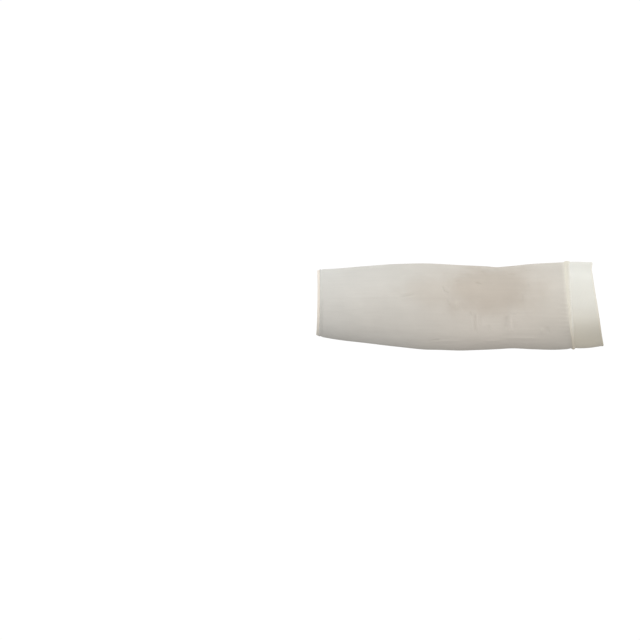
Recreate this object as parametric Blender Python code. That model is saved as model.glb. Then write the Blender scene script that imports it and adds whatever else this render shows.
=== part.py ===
"""Knitted arm sleeve in the shape it has when worn.

A stretched knit tube runs from the forearm end over the elbow. A firm edge
finishes its forearm end. A wide elastic band is sewn to its upper end, and a
raised overlock seam covers the joint between the two.

Frame: +X runs along the sleeve towards its upper end, +Z is up and -Y faces the
viewer. The origin is on the sleeve's axis, at the middle of the elastic band.
Every piece is a ring around that axis, built outwards from its inner side.
"""

import math
from collections import namedtuple

import bmesh
import bpy

# Overall sizes of the hollow, in metres
SLEEVE_LENGTH = 0.281
HOLLOW_HEIGHT = 0.084
HOLLOW_DEPTH = 0.0895

# Each piece's own sizes
KNIT_WALL = 0.0015
HEM_WIDTH = 0.0025
HEM_WALL = 0.0012
BAND_WIDTH = 0.0281
BAND_WALL = 0.0013
SEAM_WIDTH = 0.0050
SEAM_WALL = 0.0010
GAP = 0.0003

# The hem's and the seam's edges are cut back by this much, or by a share of a wall
# that is too thin for it
SOFT_EDGE = 0.0004
SOFT_EDGE_LIMIT = 0.3
SHARP_EDGE = math.radians(50)

# How far the band is turned from square to the axis. Its slant shows from the front.
# Its lean shows from above, where both sides reach towards the forearm end. The lean
# is rounded off this close to the upright middle plane.
BAND_SLANT = math.radians(7.6)
BAND_LEAN = math.radians(5.3)
LEAN_ROUND = 0.002

# Facets around the sleeve, and the longest step between rings along it. The elbow's
# closer rings start a margin before its first fold, as a share of SLEEVE_LENGTH.
# A crease has rings of its own, at these multiples of its reach.
AROUND = 48
RING_STEP = 0.0125
ELBOW_RING_STEP = 0.0065
ELBOW_MARGIN = 0.04
CREASE_RINGS = (-2.0, -1.3, -0.8, -0.4, 0.0, 0.4, 0.8, 1.3, 2.0)

# The hollow's outline. along: share of SLEEVE_LENGTH from the forearm end. top and
# bottom: shares of HOLLOW_HEIGHT from the axis. front and back: shares of
# HOLLOW_DEPTH. slant and lean: shares of the band's two turns.
Section = namedtuple("Section", "along top bottom front back slant lean")
SECTIONS = (
    Section(0.000, 0.410, 0.345, 0.380, 0.402, -0.12, -0.25),
    Section(0.068, 0.421, 0.389, 0.397, 0.419, -0.06, -0.10),
    Section(0.174, 0.451, 0.432, 0.436, 0.453, 0.00, 0.00),
    Section(0.281, 0.475, 0.471, 0.469, 0.486, 0.00, 0.00),
    Section(0.367, 0.483, 0.501, 0.486, 0.503, 0.00, 0.00),
    Section(0.438, 0.473, 0.506, 0.492, 0.508, 0.00, 0.00),
    Section(0.509, 0.463, 0.518, 0.486, 0.508, 0.00, 0.00),
    Section(0.580, 0.450, 0.510, 0.475, 0.503, 0.00, 0.00),
    Section(0.644, 0.443, 0.505, 0.464, 0.492, 0.00, 0.00),
    Section(0.701, 0.456, 0.498, 0.458, 0.480, 0.10, 0.13),
    Section(0.765, 0.476, 0.508, 0.458, 0.475, 0.30, 0.42),
    Section(0.836, 0.489, 0.514, 0.464, 0.475, 0.52, 0.78),
    Section(0.900, 0.496, 0.502, 0.469, 0.475, 0.70, 1.00),
    Section(0.950, 0.502, 0.496, 0.469, 0.475, 0.93, 0.97),
    Section(1.000, 0.499, 0.473, 0.469, 0.469, 1.17, 0.92),
)

# Where the hollow swells beyond its plain sections, or dips in, over wide places.
# along: share of SLEEVE_LENGTH. around: degrees from the top, towards the viewer.
# reach: half its length, as a share of SLEEVE_LENGTH. run: half its width, in
# degrees around the sleeve. rise: share of HOLLOW_HEIGHT.
Bulge = namedtuple("Bulge", "along around reach run rise")
BULGES = (
    Bulge(0.610, 129, 0.157, 26, 0.031),
    Bulge(0.975, 101, 0.128, 26, 0.038),
    Bulge(0.985, 147, 0.107, 28, -0.033),
)

# The folds and dents over the elbow. along: share of SLEEVE_LENGTH. around:
# degrees from the top, towards the viewer. run: degrees that the fold spans
# around the sleeve. reach: its half width along the sleeve, as a share of
# SLEEVE_LENGTH. rise: height of the cloth there, in KNIT_WALLs, and a dent's is
# negative. Only the crease has a groove on each side.
Fold = namedtuple("Fold", "along around run reach rise grooves")
FOLDS = (
    Fold(0.567, 113, 20, 0.0055, 0.55, True),
    Fold(0.463, 78, 24, 0.0120, -0.30, False),
    Fold(0.603, 36, 22, 0.0160, -0.35, False),
    Fold(0.676, 112, 30, 0.0130, -0.35, False),
    Fold(0.737, 84, 24, 0.0110, -0.25, False),
    Fold(0.640, 4, 40, 0.0180, -0.30, False),
)

Paint = namedtuple("Paint", "red green blue roughness")
KNIT_PAINT = Paint(0.62, 0.59, 0.53, 0.95)
EDGE_PAINT = Paint(0.78, 0.75, 0.67, 0.90)
BAND_PAINT = Paint(0.78, 0.78, 0.75, 0.80)


def outline_value(column, along):
    """A column of SECTIONS at any share of the length, on one smooth curve.

    Between two rows it is a cubic whose slope at each row is that of the line
    through the rows on either side.
    """
    rows = SECTIONS
    last = len(rows) - 1

    def slope(i):
        before, after = rows[max(i - 1, 0)], rows[min(i + 1, last)]
        rise = getattr(after, column) - getattr(before, column)
        return rise / (after.along - before.along)

    i = max(k for k in range(last) if k == 0 or rows[k].along <= along)
    width = rows[i + 1].along - rows[i].along
    t = (along - rows[i].along) / width
    start, end = getattr(rows[i], column), getattr(rows[i + 1], column)
    return (
        (2 * t**3 - 3 * t**2 + 1) * start
        + (t**3 - 2 * t**2 + t) * width * slope(i)
        + (3 * t**2 - 2 * t**3) * end
        + (t**3 - t**2) * width * slope(i + 1)
    )


def bulge_rise(along, angle):
    """How far the hollow swells at one place beyond its sections, in metres."""
    lift = 0.0
    for bulge in BULGES:
        away = (math.degrees(angle) - bulge.around + 180) % 360 - 180
        across = (along - bulge.along) / bulge.reach
        lift += bulge.rise * HOLLOW_HEIGHT * math.exp(-((away / bulge.run) ** 2) - across**2)
    return lift


def fold_rise(along, angle):
    """How far the folds lift the cloth off the hollow at one place, in metres.

    Across a fold the height is a bell, and along its run it stays level and then
    falls off at both ends.
    """
    lift = 0.0
    for fold in FOLDS:
        away = (math.degrees(angle) - fold.around + 180) % 360 - 180
        across = (along - fold.along) / fold.reach
        bell = math.exp(-((away / fold.run) ** 4) - across**2)
        wave = math.cos(math.pi * across) if fold.grooves else 1.0
        lift += fold.rise * KNIT_WALL * bell * wave
    return lift


def sleeve_point(along, angle, lift):
    """A point of the sleeve, lifted off the hollow's side at this angle from the top."""
    down, out = -math.cos(angle), math.sin(angle)
    height = HOLLOW_HEIGHT * outline_value("bottom" if down > 0 else "top", along)
    depth = HOLLOW_DEPTH * outline_value("front" if out > 0 else "back", along)
    lift += bulge_rise(along, angle)
    # The lift follows the ellipse's own normal, not the ray from the axis
    normal_y, normal_z = -out / depth, -down / height
    length = math.hypot(normal_y, normal_z)
    y = -depth * out + lift * normal_y / length
    z = -height * down + lift * normal_z / length
    # A turned ring has its top nearer the forearm end, and its two sides too
    slant = outline_value("slant", along) * math.tan(BAND_SLANT)
    lean = outline_value("lean", along) * math.tan(BAND_LEAN)
    from_middle = math.hypot(depth * out, LEAN_ROUND)
    band_middle = SLEEVE_LENGTH - BAND_WIDTH / 2
    x = SLEEVE_LENGTH * along - band_middle - z * slant - from_middle * lean
    return x, y, z


def ring_places(start, end):
    """Where a piece's rings lie, in metres along the sleeve, closest at the elbow."""
    elbow_start = min(fold.along for fold in FOLDS) - ELBOW_MARGIN
    elbow_end = max(fold.along for fold in FOLDS) + ELBOW_MARGIN
    creases = [
        fold.along + fold.reach * k for fold in FOLDS if fold.grooves for k in CREASE_RINGS
    ]
    inner = sorted(SLEEVE_LENGTH * along for along in (elbow_start, *creases, elbow_end))
    stops = [start, *(stop for stop in inner if start < stop < end), end]
    places = []
    for low, high in zip(stops, stops[1:]):
        at_elbow = elbow_start < (low + high) / 2 / SLEEVE_LENGTH < elbow_end
        step = ELBOW_RING_STEP if at_elbow else RING_STEP
        steps = math.ceil((high - low) / step)
        places += [low + (high - low) * k / steps for k in range(steps)]
    return places + [end]


def cloth_material(name, paint):
    """A matt cloth finish for one piece."""
    material = bpy.data.materials.new(name)
    material.use_nodes = True
    shader = material.node_tree.nodes["Principled BSDF"]
    shader.inputs["Base Color"].default_value = (paint.red, paint.green, paint.blue, 1)
    shader.inputs["Roughness"].default_value = paint.roughness
    shader.inputs["Metallic"].default_value = 0.0
    return material


def open_tube(name, places, lift, folded):
    """A mesh of rings of vertices, each bridged to the next, with its faces outwards."""
    bm = bmesh.new()
    loops = []
    for place in places:
        along = place / SLEEVE_LENGTH
        ring = []
        for k in range(AROUND):
            angle = 2 * math.pi * k / AROUND
            rise = fold_rise(along, angle) if folded else 0.0
            ring.append(bm.verts.new(sleeve_point(along, angle, lift + rise)))
        loops.append([bm.edges.new((ring[k - 1], ring[k])) for k in range(AROUND)])
    for lower, upper in zip(loops, loops[1:]):
        bmesh.ops.bridge_loops(bm, edges=lower + upper)
    bmesh.ops.recalc_face_normals(bm, faces=bm.faces)
    # An open tube has no inside, so its first face is asked which way it points
    face = next(iter(bm.faces))
    centre = face.calc_center_median()
    if face.normal.y * centre.y + face.normal.z * centre.z < 0:
        bmesh.ops.reverse_faces(bm, faces=bm.faces)
    mesh = bpy.data.meshes.new(name)
    bm.to_mesh(mesh)
    bm.free()
    mesh.shade_smooth()
    return mesh


def ring_of_cloth(name, places, lift, wall, paint, folded=False, soft_edges=False):
    """One piece: an open tube as its inner side, with its wall added outwards."""
    mesh = open_tube(name, places, lift, folded)
    mesh.materials.append(cloth_material(name, paint))
    piece = bpy.data.objects.new(name, mesh)
    bpy.context.scene.collection.objects.link(piece)
    thicken = piece.modifiers.new("Wall", "SOLIDIFY")
    thicken.thickness = wall
    thicken.offset = 1.0
    thicken.use_even_offset = True
    if soft_edges:
        rounding = piece.modifiers.new("Soft edge", "BEVEL")
        rounding.width = min(SOFT_EDGE, wall * SOFT_EDGE_LIMIT)
        rounding.segments = 1
        rounding.limit_method = "ANGLE"
        rounding.angle_limit = SHARP_EDGE
    return piece


def build_forearm_hem():
    """The firm edge that ends the knit tube on the forearm."""
    return ring_of_cloth(
        "forearm_hem",
        [0.0, HEM_WIDTH],
        lift=0.0,
        wall=HEM_WALL,
        paint=EDGE_PAINT,
        soft_edges=True,
    )


def build_knit_tube():
    """The knit tube, from the hem to the middle of the seam, with its elbow folds."""
    start = HEM_WIDTH + GAP
    end = SLEEVE_LENGTH - BAND_WIDTH
    return ring_of_cloth(
        "knit_tube",
        ring_places(start, end),
        lift=0.0,
        wall=KNIT_WALL,
        paint=KNIT_PAINT,
        folded=True,
    )


def build_elastic_band():
    """The elastic band, from the middle of the seam to the upper opening."""
    start = SLEEVE_LENGTH - BAND_WIDTH + GAP
    return ring_of_cloth(
        "elastic_band",
        ring_places(start, SLEEVE_LENGTH),
        lift=0.0,
        wall=BAND_WALL,
        paint=BAND_PAINT,
    )


def build_band_seam():
    """The raised overlock seam, lying over the joint between the knit and the band."""
    joint = SLEEVE_LENGTH - BAND_WIDTH + GAP / 2
    return ring_of_cloth(
        "band_seam",
        [joint - SEAM_WIDTH / 2, joint, joint + SEAM_WIDTH / 2],
        lift=max(KNIT_WALL, BAND_WALL) + GAP,
        wall=SEAM_WALL,
        paint=EDGE_PAINT,
        soft_edges=True,
    )


def clear_scene():
    for old in list(bpy.data.objects):
        bpy.data.objects.remove(old)


def main():
    clear_scene()
    arm_grip = bpy.data.objects.new("arm_grip", None)
    bpy.context.scene.collection.objects.link(arm_grip)
    for build in (build_forearm_hem, build_knit_tube, build_elastic_band, build_band_seam):
        build().parent = arm_grip


main()
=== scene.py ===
# %% [markdown]
# An arm sleeve, shown in the form it has when worn. It is a knitted tube with a
# firm edge at its narrow end and a wide elastic band at its upper end. The packed
# model holds four plain rings. Each is replaced here by a piece of cloth or thread
# that keeps the ring's place and size and adds what the eye looks for.

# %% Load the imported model
import math
from collections import namedtuple

import bpy
import numpy as np
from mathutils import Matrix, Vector


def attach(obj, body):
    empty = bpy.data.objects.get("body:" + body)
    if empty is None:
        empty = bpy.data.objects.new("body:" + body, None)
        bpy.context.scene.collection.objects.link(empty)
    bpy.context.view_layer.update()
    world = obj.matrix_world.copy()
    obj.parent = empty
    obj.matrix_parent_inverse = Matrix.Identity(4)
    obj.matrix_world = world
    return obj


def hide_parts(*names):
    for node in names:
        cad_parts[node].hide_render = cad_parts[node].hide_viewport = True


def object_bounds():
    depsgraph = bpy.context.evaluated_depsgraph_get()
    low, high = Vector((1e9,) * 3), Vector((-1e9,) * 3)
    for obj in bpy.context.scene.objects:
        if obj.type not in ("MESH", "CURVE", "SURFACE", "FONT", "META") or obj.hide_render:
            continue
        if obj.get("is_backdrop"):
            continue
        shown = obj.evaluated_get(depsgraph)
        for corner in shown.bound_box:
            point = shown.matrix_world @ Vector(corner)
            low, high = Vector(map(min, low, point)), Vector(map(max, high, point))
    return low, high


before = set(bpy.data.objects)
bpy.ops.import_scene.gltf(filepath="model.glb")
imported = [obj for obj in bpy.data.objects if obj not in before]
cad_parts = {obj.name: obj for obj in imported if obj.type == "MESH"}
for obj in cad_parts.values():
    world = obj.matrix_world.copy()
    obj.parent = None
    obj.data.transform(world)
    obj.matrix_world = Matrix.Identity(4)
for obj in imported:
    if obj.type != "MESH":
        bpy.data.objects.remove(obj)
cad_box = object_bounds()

MM = 0.001
print("nodes:", ", ".join(sorted(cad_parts)))

# %% [markdown]
# The worn sleeve narrows, swells and narrows again. It could be sculpted, but a
# table of cross sections is easier to read and to correct. Each row says how far
# the hollow reaches above, below, before and behind the axis at one place. A section
# is an ellipse with two different half heights and two different half depths.

# %% The hollow's outline, in shares of the sleeve's own sizes
SLEEVE_LENGTH = 281 * MM
HOLLOW_HEIGHT = 84 * MM
HOLLOW_DEPTH = 89.5 * MM
BAND_WIDTH = 28.1 * MM
BAND_SLANT = math.radians(7.6)
BAND_LEAN = math.radians(5.3)
# where the knit ends and the band starts
JOINT = SLEEVE_LENGTH - BAND_WIDTH

SECTION_COLUMNS = "along top bottom front back slant lean".split()
SECTIONS = np.array(
    [
        (0.000, 0.410, 0.345, 0.380, 0.402, -0.12, -0.25),
        (0.068, 0.421, 0.389, 0.397, 0.419, -0.06, -0.10),
        (0.174, 0.451, 0.432, 0.436, 0.453, 0.00, 0.00),
        (0.281, 0.475, 0.471, 0.469, 0.486, 0.00, 0.00),
        (0.367, 0.483, 0.501, 0.486, 0.503, 0.00, 0.00),
        (0.438, 0.473, 0.506, 0.492, 0.508, 0.00, 0.00),
        (0.509, 0.463, 0.518, 0.486, 0.508, 0.00, 0.00),
        (0.580, 0.450, 0.510, 0.475, 0.503, 0.00, 0.00),
        (0.644, 0.443, 0.505, 0.464, 0.492, 0.00, 0.00),
        (0.701, 0.456, 0.498, 0.458, 0.480, 0.10, 0.13),
        (0.765, 0.476, 0.508, 0.458, 0.475, 0.30, 0.42),
        (0.836, 0.489, 0.514, 0.464, 0.475, 0.52, 0.78),
        (0.900, 0.496, 0.502, 0.469, 0.475, 0.70, 1.00),
        (0.950, 0.502, 0.496, 0.469, 0.475, 0.93, 0.97),
        (1.000, 0.499, 0.473, 0.469, 0.469, 1.17, 0.92),
    ]
)


def section_at(along):
    """Each column of SECTIONS at an array of shares along the sleeve.

    Between two rows it is a cubic. Its slope at a row is that of the straight line
    through the rows on either side.
    """
    place, values = SECTIONS[:, 0], SECTIONS[:, 1:]
    row = np.arange(len(place))
    before, after = np.maximum(row - 1, 0), np.minimum(row + 1, len(place) - 1)
    slope = (values[after] - values[before]) / (place[after] - place[before])[:, None]
    i = np.clip(np.searchsorted(place, along, side="right") - 1, 0, len(place) - 2)
    width = (place[i + 1] - place[i])[..., None]
    t = (along - place[i])[..., None] / width
    found = (
        (2 * t**3 - 3 * t**2 + 1) * values[i]
        + (t**3 - 2 * t**2 + t) * width * slope[i]
        + (3 * t**2 - 2 * t**3) * values[i + 1]
        + (t**3 - t**2) * width * slope[i + 1]
    )
    return dict(zip(SECTION_COLUMNS[1:], np.moveaxis(found, -1, 0)))


print(f"sections: {len(SECTIONS)}")

# %% [markdown]
# Two swells and a hollow take up only a part of the girth, so the table can't hold
# them. Each is a soft bump or dip, drawn by a bell curve along the sleeve times one
# round it. Most of the small forms below are made of the same few curves.

# %% Curves for small forms, and the bulges
def bell(distance, reach):
    """1 at no distance, falling smoothly to almost 0 at twice the reach."""
    return np.exp(-((distance / reach) ** 2))


def flat_bell(distance, reach):
    """A bell that stays close to 1 up to half its reach, and then falls faster."""
    return np.exp(-((distance / reach) ** 4))


def ramp(distance, reach):
    """0 up to no distance, growing evenly to 1 at the reach."""
    return np.clip(distance / reach, 0, 1)


def angle_from(around, centre):
    """The angle from a centre in degrees, brought between minus pi and pi."""
    return np.angle(np.exp(1j * (around - math.radians(centre))))


Bulge = namedtuple("Bulge", "along around reach run rise")
# along: share of the sleeve's length. around and run: degrees. reach and rise: mm.
BULGES = (
    Bulge(0.610, 129, 44, 26, 2.6),
    Bulge(0.975, 101, 36, 26, 3.2),
    Bulge(0.985, 147, 30, 28, -2.8),
)


def bulge_lift(around, place):
    """How far the hollow swells beyond its plain sections.

    Each bulge is a bell of the place along the sleeve times a bell of the angle.
    """
    total = 0.0
    for bulge in BULGES:
        past = place - bulge.along * SLEEVE_LENGTH
        away = angle_from(around, bulge.around)
        shape = bell(past, bulge.reach * MM) * bell(away, math.radians(bulge.run))
        total = total + bulge.rise * MM * shape
    return total


print(f"bulges: {len(BULGES)}")

# %% [markdown]
# With the hollow known, one function gives any point of the sleeve from three
# numbers: the angle round it, the place along it and the lift off it. All the pieces
# are drawn in these three, as a tailor draws on flat cloth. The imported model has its
# origin in the middle of the band, so x is counted from there.

# %% Points of the sleeve
ORIGIN_PLACE = SLEEVE_LENGTH - BAND_WIDTH / 2
# within this distance of the upright middle plane the lean is rounded off
LEAN_ROUND = 2.0 * MM
GIRTH_POINTS = 361


def on_sleeve(around, place, lift):
    """Points of the sleeve, from arrays of an angle, a place along it and a lift.

    around is the angle from the top, towards the viewer. place is in metres from
    the narrow end. lift is how far the point lies off the hollow, along the normal
    of the ellipse. Each ring is then sheared along the axis, by its slant times the
    height and its lean times the distance from the upright middle plane.
    """
    around, place, lift = np.broadcast_arrays(around, place, lift)
    section = section_at(place / SLEEVE_LENGTH)
    lift = lift + bulge_lift(around, place)
    up, out = np.cos(around), np.sin(around)
    height = HOLLOW_HEIGHT * np.where(up > 0, section["top"], section["bottom"])
    depth = HOLLOW_DEPTH * np.where(out > 0, section["front"], section["back"])
    normal_y, normal_z = -out / depth, up / height
    length = np.hypot(normal_y, normal_z)
    y = -depth * out + lift * normal_y / length
    z = height * up + lift * normal_z / length
    slant = section["slant"] * math.tan(BAND_SLANT)
    lean = section["lean"] * math.tan(BAND_LEAN)
    from_middle = np.hypot(depth * out, LEAN_ROUND)
    x = place - ORIGIN_PLACE - z * slant - from_middle * lean
    return np.stack([x, y, z], axis=-1)


middle = on_sleeve(np.linspace(0, 2 * math.pi, GIRTH_POINTS), SLEEVE_LENGTH / 2, 0.0)
girth = np.linalg.norm(np.diff(middle, axis=0), axis=1).sum()
print(f"girth of the hollow at the middle: {girth / MM:.0f} mm")

# %% [markdown]
# Every piece of cloth here is a ring, so one function makes them all. A profile is
# a closed line drawn in two numbers, place along the sleeve and lift off its hollow.
# Carried round the hollow, it becomes a closed skin with an outer side, two edges
# and an inner side. A Screw modifier does this for a round shape, but the hollow
# isn't round, so the points are worked out as one array.

# %% Close a grid of points into a skin
def ring_angles(columns):
    """Angles of the columns of a skin, as a row."""
    return np.linspace(0, 2 * math.pi, columns, endpoint=False)[None, :]


def skin_mesh(name, points, v, u=None):
    """A mesh from a grid of points that closes both ways, with a UV map.

    points has the shape (profile, around, 3). v is the second UV number of each
    profile point, and u the first of each column, both with one more that closes
    them. Without u, it runs from 0 to 1 in even steps.
    """
    rows, columns, _ = points.shape
    u = np.linspace(0, 1, columns + 1) if u is None else u
    i, j = np.meshgrid(np.arange(rows), np.arange(columns), indexing="ij")
    next_i, next_j = (i + 1) % rows, (j + 1) % columns
    corners = [(i, j), (i, next_j), (next_i, next_j), (next_i, j)]
    quads = np.stack([a * columns + b for a, b in corners], axis=-1).reshape(-1, 4)
    u = np.stack([u[j], u[j + 1], u[j + 1], u[j]], axis=-1)
    v = np.stack([v[i], v[i], v[i + 1], v[i + 1]], axis=-1)
    uv = np.stack([u, v], axis=-1).reshape(-1, 4, 2)
    flat = points.reshape(-1, 3)
    a, b, c, d = (flat[quads[:, k]] for k in range(4))
    # the sign of the volume tells whether the faces point outwards
    volume = (np.cross(c - a, d - b) * (a + b + c + d)).sum()
    if volume < 0:
        quads, uv = quads[:, ::-1], uv[:, ::-1]
    mesh = bpy.data.meshes.new(name)
    mesh.from_pydata(flat, [], quads.tolist())
    layer = mesh.uv_layers.new(name="cloth")
    layer.uv.foreach_set("vector", np.ascontiguousarray(uv, dtype=np.float32).ravel())
    mesh.shade_smooth()
    return mesh


def add_object(name, data):
    """A new object for a mesh, a lamp or a camera, linked to the scene."""
    made = bpy.data.objects.new(name, data)
    bpy.context.scene.collection.objects.link(made)
    return made


def add_piece(name, mesh, material):
    """An object for a finished mesh, which rides on the sleeve's one body."""
    piece = add_object(name, mesh)
    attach(piece, "root")
    mesh.materials.append(material)
    points = np.empty(3 * len(mesh.vertices), dtype=np.float32)
    mesh.vertices.foreach_get("co", points)
    size = np.ptp(points.reshape(-1, 3), axis=0) / MM
    print(f"{name}: {len(mesh.polygons)} faces, {size.round(1)} mm")
    return piece


# %% [markdown]
# Real cloth is never quite even. A smooth, uneven wave is added to most pieces at
# some scale: slow for wide lumps, quick and tiny for a sewn edge. It is a sum of a
# few cosines. Each goes a whole number of times round the sleeve, so that the wave
# meets itself there. Blender's noise could do it too, but doesn't close.

# %% Smooth unevenness
def unevenness(around, place, seed, turns, pitch=1.0, count=7):
    """A wave about 1 high, from arrays of angles and of places along the sleeve.

    It is a sum of cosines of (n times the angle) plus (k times the place). n is up
    to turns, and 2 pi over k is about pitch. At a place of 0 only the angle counts.
    """
    random = np.random.default_rng(seed)
    total = 0.0
    for _ in range(count):
        n = random.integers(1, turns + 1)
        k = random.normal() * 2 * math.pi / pitch
        total = total + np.cos(n * around + k * place + random.uniform(0, 2 * math.pi))
    return total / math.sqrt(count)


# %% [markdown]
# Where the elbow bends, the stretched knit keeps small creases and dents. A cloth
# simulation would put them anywhere, but the photo shows where each one lies, so a
# table follows it. A fold is a low ridge or groove drawn on the unrolled cloth. It
# has a centre, a direction, a length, a width and a height. A dent is wider and
# follows a ring of the sleeve.

# %% The folds and dents of the knit
Fold = namedtuple("Fold", "along around turn run reach rise")
# along: share of the sleeve's length. around: degrees from the top, towards the
# viewer. turn: degrees by which its line leans from a ring of the sleeve. run and
# reach: half its length and half its width in millimetres. rise: millimetres.
FOLDS = (
    Fold(0.548, 114, 4, 6.6, 1.3, 0.48),
    Fold(0.558, 114, 4, 8.3, 1.05, -0.72),
    Fold(0.568, 115, 4, 8.7, 1.0, 0.72),
    Fold(0.576, 112, 3, 6.0, 0.85, -0.34),
    Fold(0.542, 101, 10, 2.3, 0.95, -0.55),
    Fold(0.668, 113, -9, 5.8, 1.8, -0.68),
    Fold(0.687, 117, 8, 7.8, 1.7, 0.78),
    Fold(0.698, 117, 2, 4.1, 1.1, -0.45),
    Fold(0.570, 57, 72, 3.4, 1.1, -0.62),
    Fold(0.445, 67, 18, 3.2, 1.1, -0.50),
    Fold(0.456, 72, 83, 2.5, 1.1, -0.42),
    Fold(0.483, 53, -17, 13.0, 1.8, 0.28),
    Fold(0.494, 55, -82, 2.5, 1.1, -0.32),
    Fold(0.462, 87, 11, 3.0, 1.0, -0.28),
    Fold(0.492, 90, 0, 3.8, 1.4, 0.60),
    Fold(0.509, 93, -4, 4.3, 1.6, -0.18),
    Fold(0.528, 42, -87, 6.2, 1.2, -0.42),
    Fold(0.603, 37, 12, 4.5, 2.4, 0.50),
    Fold(0.586, 32, 67, 2.4, 1.1, -0.50),
    Fold(0.691, 40, 83, 3.8, 1.2, -0.48),
    Fold(0.753, 34, 81, 3.6, 1.1, -0.38),
    Fold(0.729, 81, -4, 3.0, 1.2, -0.40),
    Fold(0.750, 60, 0, 4.5, 1.3, -0.26),
    Fold(0.694, 102, 82, 2.8, 1.0, -0.24),
    Fold(0.817, 123, 2, 3.4, 1.9, -0.58),
    Fold(0.797, 124, -8, 2.9, 1.5, 0.42),
    Fold(0.608, 121, 3, 4.6, 1.4, -0.30),
    Fold(0.318, 78, -76, 6.0, 1.2, -0.44),
    Fold(0.316, 73, -76, 5.5, 1.3, 0.26),
    Fold(0.468, 141, -84, 9.7, 1.4, 0.34),
    Fold(0.621, 140, 90, 8.4, 1.4, 0.28),
    Fold(0.724, 136, 89, 15.8, 1.5, 0.40),
    Fold(0.423, 141, -84, 4.0, 1.3, -0.55),
    Fold(0.294, 125, 88, 28.0, 1.6, 0.07),
    Fold(0.294, 135, 89, 34.0, 1.8, -0.08),
    Fold(0.585, 246, 4, 11.0, 1.2, -0.20),
    Fold(0.598, 243, -3, 9.0, 1.4, 0.20),
    Fold(0.512, 284, -20, 6.0, 1.6, -0.16),
    Fold(0.655, 296, 12, 8.0, 1.8, -0.16),
    Fold(0.716, 232, 30, 6.0, 1.7, 0.14),
    Fold(0.350, 268, 80, 14.0, 1.8, -0.10),
)
# the sleeve's mean radius, which turns an angle into a length on the unrolled cloth
FOLD_RADIUS = 43 * MM

Dent = namedtuple("Dent", "along around run reach depth")
# run: degrees. reach and depth: millimetres. The first five lie where the packed
# model has its dents.
DENTS = (
    Dent(0.463, 78, 24, 3.4, 0.30),
    Dent(0.603, 36, 22, 4.5, 0.40),
    Dent(0.676, 112, 30, 3.7, 0.35),
    Dent(0.737, 84, 24, 3.1, 0.25),
    Dent(0.640, 4, 40, 5.1, 0.35),
    Dent(0.640, 262, 30, 4.6, 0.30),
)


def fold_height(around, place):
    """How far the folds and dents lift the knit, in metres.

    For a fold, the way from its centre is split into a part along its line and a
    part across it. Its height is a bell of the part across, times a flat-topped
    bell of the part along. A dent's depth is a bell of the place along the sleeve,
    times a flat-topped bell of the angle.
    """
    total = 0.0
    for fold in FOLDS:
        away = angle_from(around, fold.around) * FOLD_RADIUS
        past = place - fold.along * SLEEVE_LENGTH
        turn = math.radians(fold.turn)
        along_line = away * math.cos(turn) + past * math.sin(turn)
        across = past * math.cos(turn) - away * math.sin(turn)
        shape = bell(across, fold.reach * MM) * flat_bell(along_line, fold.run * MM)
        total = total + fold.rise * MM * shape
    for dent in DENTS:
        away = angle_from(around, dent.around)
        past = place - dent.along * SLEEVE_LENGTH
        shape = bell(past, dent.reach * MM) * flat_bell(away, math.radians(dent.run))
        total = total - dent.depth * MM * shape
    return total


print(f"folds: {len(FOLDS)}, dents: {len(DENTS)}")

# %% [markdown]
# Four materials cover the whole sleeve. Colours come from the photo as sRGB hex
# values, and a shader works in linear light, so one function converts them.
# Another adds a node with its settings and its inputs. A third makes the pale yarns
# of the edge, the band and its seam darker and warmer towards the bottom, a painted
# shade of the underside.

# %% Helpers for the materials
def linear(hex_colour):
    """A linear colour with alpha, from an sRGB colour written in hex.

    Each part follows the sRGB curve: a straight line near black, a power above it.
    """
    srgb = [int(hex_colour[i : i + 2], 16) / 255 for i in (0, 2, 4)]
    return [c / 12.92 if c < 0.04045 else ((c + 0.055) / 1.055) ** 2.4 for c in srgb] + [1.0]


def set_inputs(tree, node, inputs):
    """Fills a node's sockets, each with a plain value or the output to link from.

    inputs are in the sockets' order, or a dict by a socket's name or number.
    """
    by_socket = inputs if isinstance(inputs, dict) else dict(enumerate(inputs))
    for socket, value in by_socket.items():
        if isinstance(value, bpy.types.NodeSocket):
            tree.links.new(value, node.inputs[socket])
        else:
            node.inputs[socket].default_value = value


def add_node(tree, kind, inputs=(), out=0, **settings):
    """One output of a new node, with the node's settings and inputs in place."""
    made = tree.nodes.new(kind)
    for name, value in settings.items():
        setattr(made, name, value)
    set_inputs(tree, made, inputs)
    return made.outputs[out]


# a colour Mix node's sockets go by number, because they share their names with others
MIX_FACTOR, MIX_FIRST, MIX_SECOND, MIX_COLOUR = 0, 6, 7, 2
COLOUR_MIX = {"out": MIX_COLOUR, "data_type": "RGBA"}
SMOOTH = {"interpolation_type": "SMOOTHSTEP"}
# the height at which a pale yarn's painted shade is full
SHADE_FULLY_AT = -38 * MM


def set_stops(output, stops):
    """Gives the ramp behind an output its stops, pairs of a position and a colour."""
    elements = output.node.color_ramp.elements
    while len(elements) < len(stops):
        elements.new(0.5)
    for element, (position, colour) in zip(elements, stops):
        element.position = position
        element.color = colour


def new_material(name):
    """An empty material, its node tree and its shader, and two outputs.

    They give the place in the object and the place on the cloth's own UV map.
    """
    material = bpy.data.materials.new(name)
    material.use_nodes = True
    tree = material.node_tree
    shader = tree.nodes["Principled BSDF"]
    xyz = add_node(tree, "ShaderNodeTexCoord", out="Object")
    uv = add_node(tree, "ShaderNodeUVMap", out="UV", uv_map="cloth")
    return material, tree, shader, xyz, uv


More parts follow.
